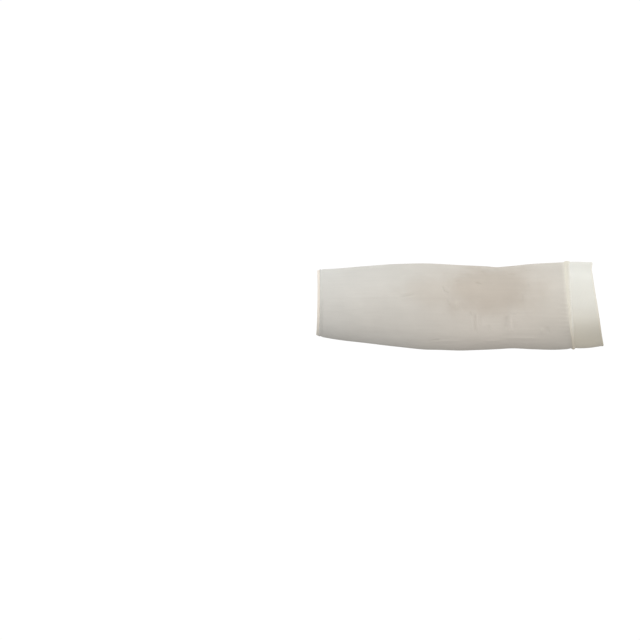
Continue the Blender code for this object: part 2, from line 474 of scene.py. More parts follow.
def painted_shade_below(tree, xyz, lit_tone, shaded_tone, start):
    """A colour that changes from a lit tone to a shaded one on the underside: painted shade.

    Its share of the shaded tone grows evenly from a start height down to the bottom.
    """
    z = add_node(tree, "ShaderNodeSeparateXYZ", (xyz,), out="Z")
    inputs = {"Value": z, "From Min": start, "From Max": SHADE_FULLY_AT}
    share = add_node(tree, "ShaderNodeMapRange", inputs)
    inputs = {MIX_FACTOR: share, MIX_FIRST: linear(lit_tone), MIX_SECOND: linear(shaded_tone)}
    return add_node(tree, "ShaderNodeMix", inputs, **COLOUR_MIX)


# %% [markdown]
# The knit is a plain jersey of textured nylon with some cotton and elastane. Each
# stitch shows as a small V, in columns that run along the sleeve. Fine jersey has
# columns about 0.9 mm apart here and rows about 0.75 mm apart, so one stitch is
# smaller than a pixel of the photo and only softens the light. It is drawn as bump
# from the cloth's own UV map, at its real size.

# %% The stitches of the jersey
WALES = 300
COURSE = 0.75 * MM
V_SLANT = 0.5
V_ROUNDING = 0.6
STITCH_HEIGHT = 0.16 * MM


def stitch_height(tree, uv):
    """The V stitches as a height from 0 to 1, from the UV map.

    Across a column, s is 0 in its middle and 1 at its sides. A leg of the V is a
    cosine of the way along the column plus a slant times s, and a half wave of s
    rounds it off at both sides.
    """
    split = add_node(tree, "ShaderNodeSeparateXYZ", (uv,)).node
    columns = add_node(tree, "ShaderNodeMath", (split.outputs["X"], WALES), operation="MULTIPLY")
    column = add_node(tree, "ShaderNodeMath", (columns,), operation="FRACT")
    centred = add_node(tree, "ShaderNodeMath", (column, 2.0, -1.0), operation="MULTIPLY_ADD")
    s = add_node(tree, "ShaderNodeMath", (centred,), operation="ABSOLUTE")
    rows = add_node(tree, "ShaderNodeMath", (split.outputs["Y"], COURSE), operation="DIVIDE")
    slanted = add_node(tree, "ShaderNodeMath", (s, V_SLANT, rows), operation="MULTIPLY_ADD")
    turned = add_node(tree, "ShaderNodeMath", (slanted, 2 * math.pi), operation="MULTIPLY")
    wave = add_node(tree, "ShaderNodeMath", (turned,), operation="COSINE")
    leg = add_node(tree, "ShaderNodeMath", (wave, 0.5, 0.5), operation="MULTIPLY_ADD")
    half_turned = add_node(tree, "ShaderNodeMath", (s, math.pi), operation="MULTIPLY")
    side = add_node(tree, "ShaderNodeMath", (half_turned,), operation="SINE")
    rounded = add_node(tree, "ShaderNodeMath", (side, V_ROUNDING), operation="POWER")
    return add_node(tree, "ShaderNodeMath", (leg, rounded), operation="MULTIPLY")


print(f"columns of stitches: {WALES}, {girth / WALES / MM:.2f} mm apart at the middle")

# %% [markdown]
# The stretched cloth over the elbow is warmer in tone than the rest, and a fainter
# patch of the same tone lies beside it. A painted image could hold them, but a plain
# oval whose border is moved by noise looks as soft and needs no image. The noise is
# as coarse as the blotches of the worn cloth.

# %% Patches with a soft, uneven border
Patch = namedtuple("Patch", "centre reach seed")
# centre and reach: x, y and z in metres. A patch without a reach in y goes through.
ELBOW_PATCH = Patch((-94.0 * MM, 0.0, 17.5 * MM), (53 * MM, None, 31 * MM), seed=4.0)
BESIDE_PATCH = Patch((-144.0 * MM, 0.0, 13.5 * MM), (44 * MM, None, 17 * MM), seed=7.0)
BESIDE_STRENGTH = 0.42
# the scale of a noise is how many of its lumps fit in a metre, here and below
BLOTCH_SCALE = 42.0
PATCH_WOBBLE = 1.1
PATCH_OUTSIDE = 1.85
PATCH_INSIDE = 0.85


def soft_patch(tree, xyz, patch):
    """1 inside a soft patch of the side view and 0 outside, with an uneven border.

    The way from the centre is counted in reaches. Noise is added to it, and a
    smooth step turns the sum into the share of the patch.
    """
    shift = [-part for part in patch.centre]
    scale = [0.0 if part is None else 1 / part for part in patch.reach]
    moved = add_node(tree, "ShaderNodeVectorMath", (xyz, shift), operation="ADD")
    scaled = add_node(tree, "ShaderNodeVectorMath", (moved, scale), operation="MULTIPLY")
    length = add_node(tree, "ShaderNodeVectorMath", (scaled,), out="Value", operation="LENGTH")
    inputs = {"Vector": xyz, "W": patch.seed, "Scale": BLOTCH_SCALE, "Detail": 3.0, "Roughness": 0.6}
    noise = add_node(tree, "ShaderNodeTexNoise", inputs, noise_dimensions="4D")
    uneven = add_node(tree, "ShaderNodeMath", (noise, PATCH_WOBBLE, length), operation="MULTIPLY_ADD")
    inputs = {"Value": uneven, "From Min": PATCH_OUTSIDE, "From Max": PATCH_INSIDE}
    return add_node(tree, "ShaderNodeMapRange", inputs, **SMOOTH)


lengths = [2 * patch.reach[0] / MM for patch in (ELBOW_PATCH, BESIDE_PATCH)]
print("patches:", ", ".join(f"{length:.0f} mm" for length in lengths), "long")

# %% [markdown]
# The jersey's colour is built in layers. Its tone drifts slowly along the sleeve and
# turns warmer in the two patches. Beside the band, on all but the underside, the
# pale thread of the seam shows between the stitches. Blotches and fine streaks along
# the sleeve break the tone up. The height of the folds, kept with the mesh in
# millimetres, darkens the colour in grooves and lightens it on ridges: painted shade
# and painted light. Textured yarn is dull, so the surface is rough and reflects
# little.

# %% Jersey knit
# share of the sleeve's length, and the tone there
KNIT_TONES = (
    (0.00, "D4D2CC"),
    (0.12, "D2CFC8"),
    (0.30, "CFCBC3"),
    (0.42, "CEC9C0"),
    (0.65, "D0C9BF"),
    (0.92, "CFCAC0"),
)
ELBOW_TONE = "C2B9AD"
THREAD_TONE = "E5E1D5"
TONE_DRIFT = 0.24
DRIFT_SCALE = 16.0
THREADED_FROM = JOINT - 5.0 * MM
THREADED_FULLY = JOINT - 0.5 * MM
THREADED_SHARE = 0.6
THREADED_LOWEST = -24 * MM
THREADED_ABOVE = -4 * MM
STREAK_SCALE = (12.0, 420.0, 420.0)
STREAK_MARK = 0.06
BLOTCH_MARK = 0.11
# how much a millimetre of fold height darkens or lightens the colour: painted shade in grooves,
# painted light on ridges
PAINTED_FOLD_SHADE = 0.055

jersey, tree, shader, xyz, uv = new_material("jersey_knit")
x_place = add_node(tree, "ShaderNodeSeparateXYZ", (xyz,), out="X")
moved = add_node(tree, "ShaderNodeMath", (x_place, ORIGIN_PLACE), operation="ADD")
along_share = add_node(tree, "ShaderNodeMath", (moved, SLEEVE_LENGTH), operation="DIVIDE")
drift = add_node(tree, "ShaderNodeTexNoise", {"Vector": xyz, "Scale": DRIFT_SCALE, "Detail": 2.0})
centred = add_node(tree, "ShaderNodeMath", (along_share, TONE_DRIFT / 2), operation="SUBTRACT")
drifted = add_node(tree, "ShaderNodeMath", (drift, TONE_DRIFT, centred), operation="MULTIPLY_ADD")
tones = add_node(tree, "ShaderNodeValToRGB", (drifted,))
tones.node.color_ramp.interpolation = "B_SPLINE"
set_stops(tones, [(share, linear(tone)) for share, tone in KNIT_TONES])

elbow = soft_patch(tree, xyz, ELBOW_PATCH)
beside = soft_patch(tree, xyz, BESIDE_PATCH)
fainter = add_node(tree, "ShaderNodeMath", (beside, BESIDE_STRENGTH), operation="MULTIPLY")
warmer = add_node(tree, "ShaderNodeMath", (elbow, fainter), operation="MAXIMUM")
inputs = {MIX_FACTOR: warmer, MIX_FIRST: tones, MIX_SECOND: linear(ELBOW_TONE)}
colour = add_node(tree, "ShaderNodeMix", inputs, **COLOUR_MIX)

y_place = add_node(tree, "ShaderNodeSeparateXYZ", (uv,), out="Y")
inputs = {"Value": y_place, "From Min": THREADED_FROM, "From Max": THREADED_FULLY}
inputs["To Max"] = THREADED_SHARE
threaded = add_node(tree, "ShaderNodeMapRange", inputs, **SMOOTH)
z_place = add_node(tree, "ShaderNodeSeparateXYZ", (xyz,), out="Z")
inputs = {"Value": z_place, "From Min": THREADED_LOWEST, "From Max": THREADED_ABOVE}
above = add_node(tree, "ShaderNodeMapRange", inputs, **SMOOTH)
threaded = add_node(tree, "ShaderNodeMath", (threaded, above), operation="MULTIPLY")
inputs = {MIX_FACTOR: threaded, MIX_FIRST: colour, MIX_SECOND: linear(THREAD_TONE)}
colour = add_node(tree, "ShaderNodeMix", inputs, **COLOUR_MIX)

stretched = add_node(tree, "ShaderNodeMapping", {"Vector": xyz, "Scale": STREAK_SCALE})
streaks = add_node(tree, "ShaderNodeTexNoise", {"Vector": stretched, "Scale": 1.0, "Detail": 2.0})
inputs = {"Vector": xyz, "Scale": BLOTCH_SCALE, "Detail": 4.0}
blotches = add_node(tree, "ShaderNodeTexNoise", inputs)
# noise is one half on average, so this keeps the mean tone as it was
inputs = (blotches, BLOTCH_MARK, 1 - (BLOTCH_MARK + STREAK_MARK) / 2)
blended = add_node(tree, "ShaderNodeMath", inputs, operation="MULTIPLY_ADD")
streaked = add_node(tree, "ShaderNodeMath", (streaks, STREAK_MARK, blended), operation="MULTIPLY_ADD")
# painted shade in the grooves and painted light on the ridges, from the height of the folds
fold = add_node(tree, "ShaderNodeAttribute", out="Fac", attribute_name="fold")
shade = add_node(tree, "ShaderNodeMath", (fold, PAINTED_FOLD_SHADE, streaked), operation="MULTIPLY_ADD")
inputs = {MIX_FACTOR: 1.0, MIX_FIRST: colour, MIX_SECOND: shade}
shaded = add_node(tree, "ShaderNodeMix", inputs, blend_type="MULTIPLY", **COLOUR_MIX)
inputs = {"Height": stitch_height(tree, uv), "Distance": STITCH_HEIGHT, "Strength": 0.45}
bump = add_node(tree, "ShaderNodeBump", inputs)
finish = {"Base Color": shaded, "Roughness": 0.85, "Specular IOR Level": 0.3, "Normal": bump}
set_inputs(tree, shader, finish)
print(f"jersey_knit: {len(tree.nodes)} nodes")

# %% [markdown]
# The knit's outer side carries the folds, slow lumps, faint lines where columns of
# stitches pull tighter, puckers where it is sewn to the band, and a shallow groove
# beside the hem. Its inner side follows the same lumps and folds, because cloth
# keeps its thickness. The groove's colour is also darkened with painted shade, just
# below the middle of both flanks.

# %% The two sides of the knit
KNIT_WALL = 1.5 * MM
HEM_WIDTH = 2.5 * MM
LUMP_HEIGHT = 0.22 * MM
# how far from the hem and from the band the lumps reach their full height
CALM_AT_HEM = 12 * MM
CALM_AT_BAND = 14 * MM
STREAK_HEIGHT = 0.022 * MM
PUCKERS = 58
PUCKER_HEIGHT = 0.11 * MM
PUCKER_WOBBLE = 1.4
PUCKER_START = 3.0 * MM
PUCKER_FADE = 4.5 * MM
GROOVE_PLACE = 4.4 * MM
GROOVE_REACH = 1.2 * MM
GROOVE_DEPTH = 0.34 * MM
GROOVE_DEEPER = 0.25 * MM
VALLEY_PLACE = 2.6 * MM
VALLEY_REACH = 2.2 * MM
VALLEY_DEPTH = 0.55 * MM
# painted shade in the groove beside the hem, low on both flanks
PAINTED_SHADE_PLACE = 4.0 * MM
PAINTED_SHADE_REACH = 1.0 * MM
PAINTED_SHADE_MIDDLE = math.radians(107)
PAINTED_SHADE_RUN = math.radians(28)
PAINTED_SHADE_DEPTH = 1.3


def knit_lumps(around, place):
    """Slow lumps that both sides of the knit follow, and its folds.

    The lumps are an uneven wave, which fades out to nothing at both ends.
    """
    calm = ramp(place - HEM_WIDTH, CALM_AT_HEM) * ramp(JOINT - place, CALM_AT_BAND)
    lumps = LUMP_HEIGHT * unevenness(around, place, seed=3, turns=4, pitch=110 * MM)
    return lumps * calm + fold_height(around, place)


def knit_outside(around, place):
    """Lift of the knit's outer side over the hollow.

    It is the wall, plus the lumps and folds, plus an uneven wave of many turns for
    the streaks, plus a cosine for the puckers that fades away from the band. A bell
    sinks the groove beside the hem, deeper on the underside. Another sinks a valley
    beside the seam, on the underside only.
    """
    calm = ramp(place - HEM_WIDTH, CALM_AT_HEM)
    lines = unevenness(around, place, seed=8, turns=70, pitch=220 * MM, count=16)
    wobble = PUCKER_WOBBLE * unevenness(around, place, seed=5, turns=9, pitch=200 * MM)
    fade = np.exp(-np.maximum(JOINT - PUCKER_START - place, 0) / PUCKER_FADE)
    puckers = PUCKER_HEIGHT * np.cos(PUCKERS * around + wobble) * fade
    below = np.clip(-np.cos(around), 0, 1)
    groove = (GROOVE_DEPTH + GROOVE_DEEPER * below) * bell(place - GROOVE_PLACE, GROOVE_REACH)
    valley = VALLEY_DEPTH * below * bell(JOINT - VALLEY_PLACE - place, VALLEY_REACH)
    raised = knit_lumps(around, place) + STREAK_HEIGHT * lines * calm + puckers
    return KNIT_WALL + raised - groove - valley


def painted_shade_of(around, place):
    """The number that shades the knit: the height of its folds, in millimetres.

    Painted shade in the groove beside the hem lowers it, by a bell of the place
    times a flat-topped bell of the angle from the top.
    """
    from_top = np.arccos(np.cos(around))
    low_down = flat_bell(from_top - PAINTED_SHADE_MIDDLE, PAINTED_SHADE_RUN)
    groove_shade = PAINTED_SHADE_DEPTH * bell(place - PAINTED_SHADE_PLACE, PAINTED_SHADE_REACH) * low_down
    return fold_height(around, place) / MM - groove_shade


print(f"knit: {KNIT_WALL / MM:.1f} mm thick, {PUCKERS} puckers")

# %% [markdown]
# The knit tube is the main piece. Its points lie closer together over the elbow, at
# both ends and on the front, so that the small forms there stay sharp while the
# whole piece stays light.

# %% The knit tube
GAP = 0.3 * MM
KNIT_COLUMNS = 280
FRONT_CROWDING = 0.5
COARSE_STEP = 2.0 * MM
ELBOW_STEP = 0.65 * MM
FINE_STEP = 0.45 * MM
ELBOW_START = 0.425 * SLEEVE_LENGTH
ELBOW_END = 0.825 * SLEEVE_LENGTH
CREASE_PLACE = 0.561 * SLEEVE_LENGTH
CREASE_REACH = 5.5 * MM
HEM_ZONE = 5 * MM
SEAM_ZONE = 10 * MM
INNER_ROWS = 56
INNER_LIFT = 0.25 * MM


def stepped(stops):
    """Places from (start, step) pairs: even steps from each start to the next one."""
    parts = []
    for (low, step), (high, _) in zip(stops, stops[1:]):
        count = max(2, round((high - low) / step))
        parts.append(np.linspace(low, high, count, endpoint=False))
    return np.append(np.concatenate(parts), stops[-1][0])


knit_start, knit_end = HEM_WIDTH + GAP / 2, JOINT - GAP / 2
outer_places = stepped(
    [
        (knit_start, FINE_STEP),
        (knit_start + HEM_ZONE, COARSE_STEP),
        (ELBOW_START, ELBOW_STEP),
        (CREASE_PLACE - CREASE_REACH, FINE_STEP),
        (CREASE_PLACE + CREASE_REACH, ELBOW_STEP),
        (ELBOW_END, COARSE_STEP),
        (knit_end - SEAM_ZONE, 2 * FINE_STEP),
        (knit_end, FINE_STEP),
    ]
)
inner_places = np.linspace(knit_end, knit_start, INNER_ROWS)
outer_column, inner_column = outer_places[:, None], inner_places[:, None]
even = ring_angles(KNIT_COLUMNS)
around = even + FRONT_CROWDING * np.cos(even)
outer_side = on_sleeve(around, outer_column, knit_outside(around, outer_column))
inner_lift = INNER_LIFT + knit_lumps(around, inner_column)
inner_side = on_sleeve(around, inner_column, inner_lift)
knit_v = np.concatenate([outer_places, inner_places, outer_places[:1]])
knit_u = np.append(around, around[0, 0] + 2 * math.pi) / (2 * math.pi)
knit_mesh = skin_mesh("knit_cloth", np.concatenate([outer_side, inner_side]), knit_v, knit_u)
# each point keeps its painted shade and light, in the attribute named fold
painted_shade = painted_shade_of(around, np.concatenate([outer_column, inner_column]))
painted_shade_layer = knit_mesh.attributes.new("fold", "FLOAT", "POINT")
painted_shade_layer.data.foreach_set("value", painted_shade.astype(np.float32).ravel())
knit = add_piece("knit_cloth", knit_mesh, jersey)
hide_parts("knit_tube")

# %% [markdown]
# The narrow end doesn't ladder because its last rows are bound off into a slim
# rolled edge. It is firm, a little lighter than the knit, and ribbed by the ends of
# the stitch columns. Being tight, it pulls in towards its free side. An oval profile
# carried round the hollow makes the roll, and a small wave along it makes the ribs.
# The yarn is the knit's own, so it is as dull.

# %% The rolled edge at the narrow end
EDGE_RIBS = 176
EDGE_COLUMNS = 6 * EDGE_RIBS
EDGE_POINTS = 20
EDGE_HEIGHT = 1.35 * MM
EDGE_PULL = 0.9 * MM
EDGE_RIB_HEIGHT = 0.06 * MM
EDGE_WAVE = 0.05 * MM

edge_yarn, tree, shader, xyz, uv = new_material("edge_yarn")
# the rolled edge turns darker and warmer towards the bottom: painted shade
edge_colour = painted_shade_below(tree, xyz, "EFE6DA", "DAD6CC", start=-10 * MM)
finish = {"Base Color": edge_colour, "Roughness": 0.85, "Specular IOR Level": 0.35}
set_inputs(tree, shader, finish)

around = ring_angles(EDGE_COLUMNS)
turn = np.linspace(0, 2 * math.pi, EDGE_POINTS, endpoint=False)[:, None]
rib = EDGE_RIB_HEIGHT * np.cos(EDGE_RIBS * around)
wave = EDGE_WAVE * unevenness(around, 0.0, seed=21, turns=30)
edge_place = HEM_WIDTH / 2 + wave + (HEM_WIDTH / 2 + rib) * np.cos(turn)
pulled_in = EDGE_PULL * (1 - np.cos(turn)) / 2
edge_lift = EDGE_HEIGHT / 2 + (EDGE_HEIGHT / 2 + rib) * np.sin(turn) - pulled_in
edge_v = np.linspace(0, 2 * HEM_WIDTH, EDGE_POINTS + 1)
edge_mesh = skin_mesh("hem_edge", on_sleeve(around, edge_place, edge_lift), edge_v)
edge = add_piece("hem_edge", edge_mesh, edge_yarn)
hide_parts("forearm_hem")

# %% [markdown]
# The band is woven elastic: rubber cores run round the sleeve, and a polyester weave
# holds them. Its smooth threads give it a soft sheen, which a lower roughness and a
# thin coat show. The weave is too fine to see at this size, so it is a bump of two
# sine waves multiplied, one round the band and one across it. The free edge is a
# selvedge of cream yarn.

# %% Woven elastic
RIB_PITCH = 1.35 * MM
SELVEDGE = 1.8 * MM
BEAD_START = SLEEVE_LENGTH - SELVEDGE
# how far before and after the bead's start the cream tone sets in
BLEND_BEFORE = 0.3 * MM
BLEND_AFTER = 0.5 * MM
BAND_BLOTCH_SCALE = 55.0
BAND_BLOTCH_MARK = 0.06
# waves of the crosswise threads, round the whole band
PICKS = 420
WEAVE_HEIGHT = 0.05 * MM

elastic, tree, shader, xyz, uv = new_material("woven_elastic")
split = add_node(tree, "ShaderNodeSeparateXYZ", (uv,)).node
blend_start, blend_end = BEAD_START - BLEND_BEFORE, BEAD_START + BLEND_AFTER
inputs = {"Value": split.outputs["Y"], "From Min": blend_start, "From Max": blend_end}
at_edge = add_node(tree, "ShaderNodeMapRange", inputs, **SMOOTH)
# both tones turn darker and warmer towards the bottom: painted shade
weave_tone = painted_shade_below(tree, xyz, "DCDAD0", "DAD3C1", start=0.0)
edge_tone = painted_shade_below(tree, xyz, "E1DDD0", "DBD3BE", start=0.0)
inputs = {MIX_FACTOR: at_edge, MIX_FIRST: weave_tone, MIX_SECOND: edge_tone}
colour = add_node(tree, "ShaderNodeMix", inputs, **COLOUR_MIX)
inputs = {"Vector": xyz, "Scale": BAND_BLOTCH_SCALE, "Detail": 2.0}
blotches = add_node(tree, "ShaderNodeTexNoise", inputs)
inputs = (blotches, BAND_BLOTCH_MARK, 1 - BAND_BLOTCH_MARK / 2)
shade = add_node(tree, "ShaderNodeMath", inputs, operation="MULTIPLY_ADD")
inputs = {MIX_FACTOR: 1.0, MIX_FIRST: colour, MIX_SECOND: shade}
shaded = add_node(tree, "ShaderNodeMix", inputs, blend_type="MULTIPLY", **COLOUR_MIX)
inputs = (split.outputs["X"], 2 * math.pi * PICKS)
picks = add_node(tree, "ShaderNodeMath", inputs, operation="MULTIPLY")
inputs = (split.outputs["Y"], math.pi / RIB_PITCH)
cores = add_node(tree, "ShaderNodeMath", inputs, operation="MULTIPLY")
pick = add_node(tree, "ShaderNodeMath", (picks,), operation="SINE")
core = add_node(tree, "ShaderNodeMath", (cores,), operation="SINE")
weave = add_node(tree, "ShaderNodeMath", (pick, core), operation="MULTIPLY")
bump = add_node(tree, "ShaderNodeBump", {"Height": weave, "Distance": WEAVE_HEIGHT, "Strength": 0.35})
finish = {"Base Color": shaded, "Roughness": 0.55, "IOR": 1.55, "Specular IOR Level": 0.9}
finish.update({"Coat Weight": 0.45, "Coat Roughness": 0.5, "Normal": bump})
set_inputs(tree, shader, finish)
print(f"woven_elastic: {len(tree.nodes)} nodes")

# %% [markdown]
# The cores show as fine ribs round the band. Its selvedge is a thicker, rounded bead,
# which leans out a little at the very top. At the top and on the front the band laps
# over the joint and lies higher. Below, where it is only sewn on, it sinks a little
# beside the seam.

# %% The elastic band
BAND_WALL = 1.3 * MM
RIB_HEIGHT = 0.025 * MM
SELVEDGE_RISE = 0.24 * MM
LINE_PLACE = 0.5 * MM
LINE_REACH = 0.45 * MM
LINE_DEPTH = 0.10 * MM
SEAT_MIDDLE = math.radians(35)
SEAT_HEIGHT = 0.70 * MM
SEAT_REACH = 13 * MM
SEAT_SHARPNESS = 1.6
SWELL_HEIGHT = 0.16 * MM
SWELL_START = 8 * MM
SINK_DEPTH = 0.30 * MM
SINK_PLACE = 4.1 * MM
SINK_SWAY = 1.4 * MM
SINK_REACH = 0.9 * MM
SINK_START = 0.15
TOP_LEAN = 1.6 * MM
TOP_REACH = math.radians(26)
BAND_COLUMNS = 300
POINTS_A_RIB = 5
ROUND_POINTS = 9
BACK_POINTS = 24
BACK_LIFT = 0.02 * MM


def band_seat(around, place):
    """How far the band lies higher where it laps over the joint.

    It is a bell of the way from the joint, times a cosine of the angle that is cut
    off at full height and at none.
    """
    upper = np.clip(SEAT_SHARPNESS * np.cos(around - SEAT_MIDDLE), 0, 1)
    return SEAT_HEIGHT * bell(place - JOINT, SEAT_REACH) * upper


def band_outside(place):
    """Lift of the band's outer side over the hollow.

    It is the wall, plus a cosine for the ribs, plus one bell for the bead at the
    free edge, less a narrower bell for the line beside it.
    """
    from_edge = SLEEVE_LENGTH - place
    ribbed = ramp(from_edge - SELVEDGE, SELVEDGE)
    ribs = RIB_HEIGHT * np.cos(2 * math.pi * place / RIB_PITCH) * ribbed
    bead = SELVEDGE_RISE * bell(from_edge - SELVEDGE / 2, SELVEDGE / 2)
    line = LINE_DEPTH * bell(from_edge - SELVEDGE - LINE_PLACE, LINE_REACH)
    return BAND_WALL + ribs + bead - line


def band_sink(around, place):
    """How far the band sinks beside the seam.

    It is a bell of the way from a line beside the seam, which lies nearer to it on
    the underside, times a depth that grows downwards from just above the middle.
    """
    from_line = place - JOINT - SINK_PLACE - SINK_SWAY * np.cos(around)
    low_down = np.clip(SINK_START - np.cos(around), 0, 1)
    return SINK_DEPTH * bell(from_line, SINK_REACH) * low_down


band_start = JOINT + GAP / 2
edge_round = (BAND_WALL + SELVEDGE_RISE) / 2
flat_places = np.arange(band_start, SLEEVE_LENGTH - edge_round, RIB_PITCH / POINTS_A_RIB)
round_turn = np.linspace(math.pi / 2, -math.pi / 2, ROUND_POINTS)
round_places = SLEEVE_LENGTH - edge_round + edge_round * np.cos(round_turn)
round_lifts = edge_round + edge_round * np.sin(round_turn)
back_places = np.linspace(SLEEVE_LENGTH - 2 * edge_round, band_start, BACK_POINTS)
back_lifts = np.full(BACK_POINTS, BACK_LIFT)
band_places = np.concatenate([flat_places, round_places, back_places])
band_lifts = np.concatenate([band_outside(flat_places), round_lifts, back_lifts])
place, lift = band_places[:, None], band_lifts[:, None]
around = ring_angles(BAND_COLUMNS)
swell = SWELL_HEIGHT * unevenness(around, place, seed=31, turns=5, pitch=60 * MM)
lift = lift + swell * ramp(place - band_start, SWELL_START)
lift = lift + band_seat(around, place) - band_sink(around, place)
band_points = on_sleeve(around, place, lift)
at_top = flat_bell(angle_from(around, 0.0), TOP_REACH)
band_points[..., 0] += TOP_LEAN * at_top * ((place - band_start) / BAND_WIDTH) ** 2
band_mesh = skin_mesh("elastic_webbing", band_points, np.append(band_places, band_places[0]))
band = add_piece("elastic_webbing", band_mesh, elastic)
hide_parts("elastic_band")

# %% [markdown]
# An overlock machine joins the knit to the band. It trims the two raw edges and wraps
# them in bulky polyester thread, which is as dull as the knit. Over the band the
# thread lies thin, and the white of the weave shows through it, so the ridge's colour
# changes on its way across.

# %% The seam's thread
THIN_FROM = 3.0 * MM
THIN_FULLY = 5.2 * MM

seam_yarn, tree, shader, xyz, uv = new_material("seam_yarn")
# both thread tones turn darker and warmer towards the bottom: painted shade
thread_tone = painted_shade_below(tree, xyz, THREAD_TONE, "D6CFC0", start=-20 * MM)
v_place = add_node(tree, "ShaderNodeSeparateXYZ", (uv,), out="Y")
inputs = {"Value": v_place, "From Min": THIN_FROM, "From Max": THIN_FULLY}
thin = add_node(tree, "ShaderNodeMapRange", inputs, **SMOOTH)
white_tone = painted_shade_below(tree, xyz, "ECEAE3", "DBD4C7", start=-20 * MM)
inputs = {MIX_FACTOR: thin, MIX_FIRST: thread_tone, MIX_SECOND: white_tone}
colour = add_node(tree, "ShaderNodeMix", inputs, **COLOUR_MIX)
finish = {"Base Color": colour, "Roughness": 0.85, "Specular IOR Level": 0.3}
set_inputs(tree, shader, finish)
print(f"seam_yarn: {len(tree.nodes)} nodes")

# %% [markdown]
# The seam leaves a soft ridge. At the top it is wide and flattens out over the band,
# and below it is narrow and stands up more. A domed profile makes the ridge, and a
# wave along it shows how each loop of thread presses into it.

# %% The ridge of the seam
STITCHES = 176
RIDGE_COLUMNS = 5 * STITCHES
RIDGE_PLACE = 1.1 * MM
RIDGE_SWAY = 0.6 * MM
RIDGE_HALF_WIDTH = 2.2 * MM
RIDGE_SPREAD = 1.1 * MM
BORDER_WAVE = 0.26 * MM
RIDGE_FOOT = 1.42 * MM
RIDGE_HEIGHT = 0.55 * MM
HIGHER_ON_TOP = 0.30 * MM
HIGHER_BELOW = 0.20 * MM
RIDGE_SKEW = 0.8
STEEPNESS = 0.75
STEEPNESS_SWAY = 0.30
PRESS = 0.07
PRESS_SLANT = 1.5
SOFTNESS = 0.10
OVER_BAND = 0.03 * MM
RIDGE_UNDER = 0.25 * MM
DOME_POINTS = 15
UNDER_POINTS = 5
UNDER_REACH = 0.9
# length of the ridge's profile in the UV map, once round it
RIDGE_PROFILE = 10 * MM


def ridge_place(around, across):
    """Place along the sleeve of a point of the ridge.

    across runs from -1, on the knit, to 1, on the band. The place is the ridge's
    middle plus its half width times across, and both grow with the cosine of the
    angle. An uneven wave moves the border on the knit.
    """
    middle_place = JOINT + RIDGE_PLACE + RIDGE_SWAY * np.cos(around)
    half_width = RIDGE_HALF_WIDTH + RIDGE_SPREAD * np.cos(around)
    border = BORDER_WAVE * unevenness(around, 0.0, seed=41, turns=15)
    return middle_place + half_width * across + border * np.clip(-across, 0, 1)


def ridge_lift(around, across):
    """Lift of the ridge: a dome over its foot, pressed in by the thread.

    The foot leads in a straight line from the knit to the outer side of the band.
    The dome is the sine of half a turn times the share of the way across, raised to
    a power that skews it towards the knit. A second power makes it gentle at the
    top of the sleeve and steep below. It is a little lower on the sides than at
    either.
    """
    share = np.clip((1 + across) / 2, 0, 1)
    up = np.cos(around)
    on_band = BAND_WALL + band_seat(around, ridge_place(around, across)) + OVER_BAND
    foot = RIDGE_FOOT * (1 - share) + on_band * share
    higher = HIGHER_ON_TOP * np.clip(up, 0, 1) + HIGHER_BELOW * np.clip(-up, 0, 1)
    steepness = STEEPNESS + STEEPNESS_SWAY * up
    dome = np.maximum(np.sin(math.pi * share**RIDGE_SKEW), 0) ** steepness
    press = 1 + PRESS * np.cos(STITCHES * around + PRESS_SLANT * across)
    soft = 1 + SOFTNESS * unevenness(around, 0.0, seed=42, turns=14)
    return foot + (RIDGE_HEIGHT + higher) * dome * press * soft


around = ring_angles(RIDGE_COLUMNS)
over = -np.cos(np.linspace(0, math.pi, DOME_POINTS))[:, None]
under = np.linspace(UNDER_REACH, -UNDER_REACH, UNDER_POINTS)[:, None]
top_side = on_sleeve(around, ridge_place(around, over), ridge_lift(around, over))
low_side = on_sleeve(around, ridge_place(around, under), RIDGE_FOOT - RIDGE_UNDER)
ridge_v = np.linspace(0, RIDGE_PROFILE, DOME_POINTS + UNDER_POINTS + 1)
ridge_mesh = skin_mesh("seam_ridge", np.concatenate([top_side, low_side]), ridge_v)
ridge = add_piece("seam_ridge", ridge_mesh, seam_yarn)
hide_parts("band_seam")

# %% [markdown]
# The looper thread crosses the ridge once for each stitch, to and fro. It is one
# thread all the way round, so it is one closed tube along a zigzag path. A second
# one lies flat over the joint on the inside. The photo doesn't show that side, but
# the same machine leaves it.

# %% The looper threads, outside and inside
THREAD_RADIUS = 0.16 * MM
THREAD_SIDES = 6
LOOP_ROUNDING = 0.97
LOOP_REACH = 0.93
LOOP_RISE = 0.4 * THREAD_RADIUS
INNER_REACH = 2.2 * MM
INNER_THREAD_LIFT = 0.05 * MM


def thread_mesh(name, place_of, lift_of, samples):
    """A closed tube of thread along a path round the sleeve.

    place_of and lift_of give the path from the angle. Each ring of the tube is a
    circle, in the plane of the sleeve's outward direction and of the direction
    square to it and to the path.
    """
    around = np.linspace(0, 2 * math.pi, STITCHES * samples, endpoint=False)
    path = on_sleeve(around, place_of(around), lift_of(around))
    outward = on_sleeve(around, place_of(around), lift_of(around) + MM) - path
    forward = np.roll(path, -1, axis=0) - np.roll(path, 1, axis=0)
    sideways = np.cross(forward, outward)
    sideways /= np.linalg.norm(sideways, axis=1, keepdims=True)
    raised = np.cross(sideways, forward)
    raised /= np.linalg.norm(raised, axis=1, keepdims=True)
    turn = np.linspace(0, 2 * math.pi, THREAD_SIDES, endpoint=False)[:, None, None]
    points = path + THREAD_RADIUS * (np.cos(turn) * raised + np.sin(turn) * sideways)
    return skin_mesh(name, points, np.linspace(0, MM, THREAD_SIDES + 1))


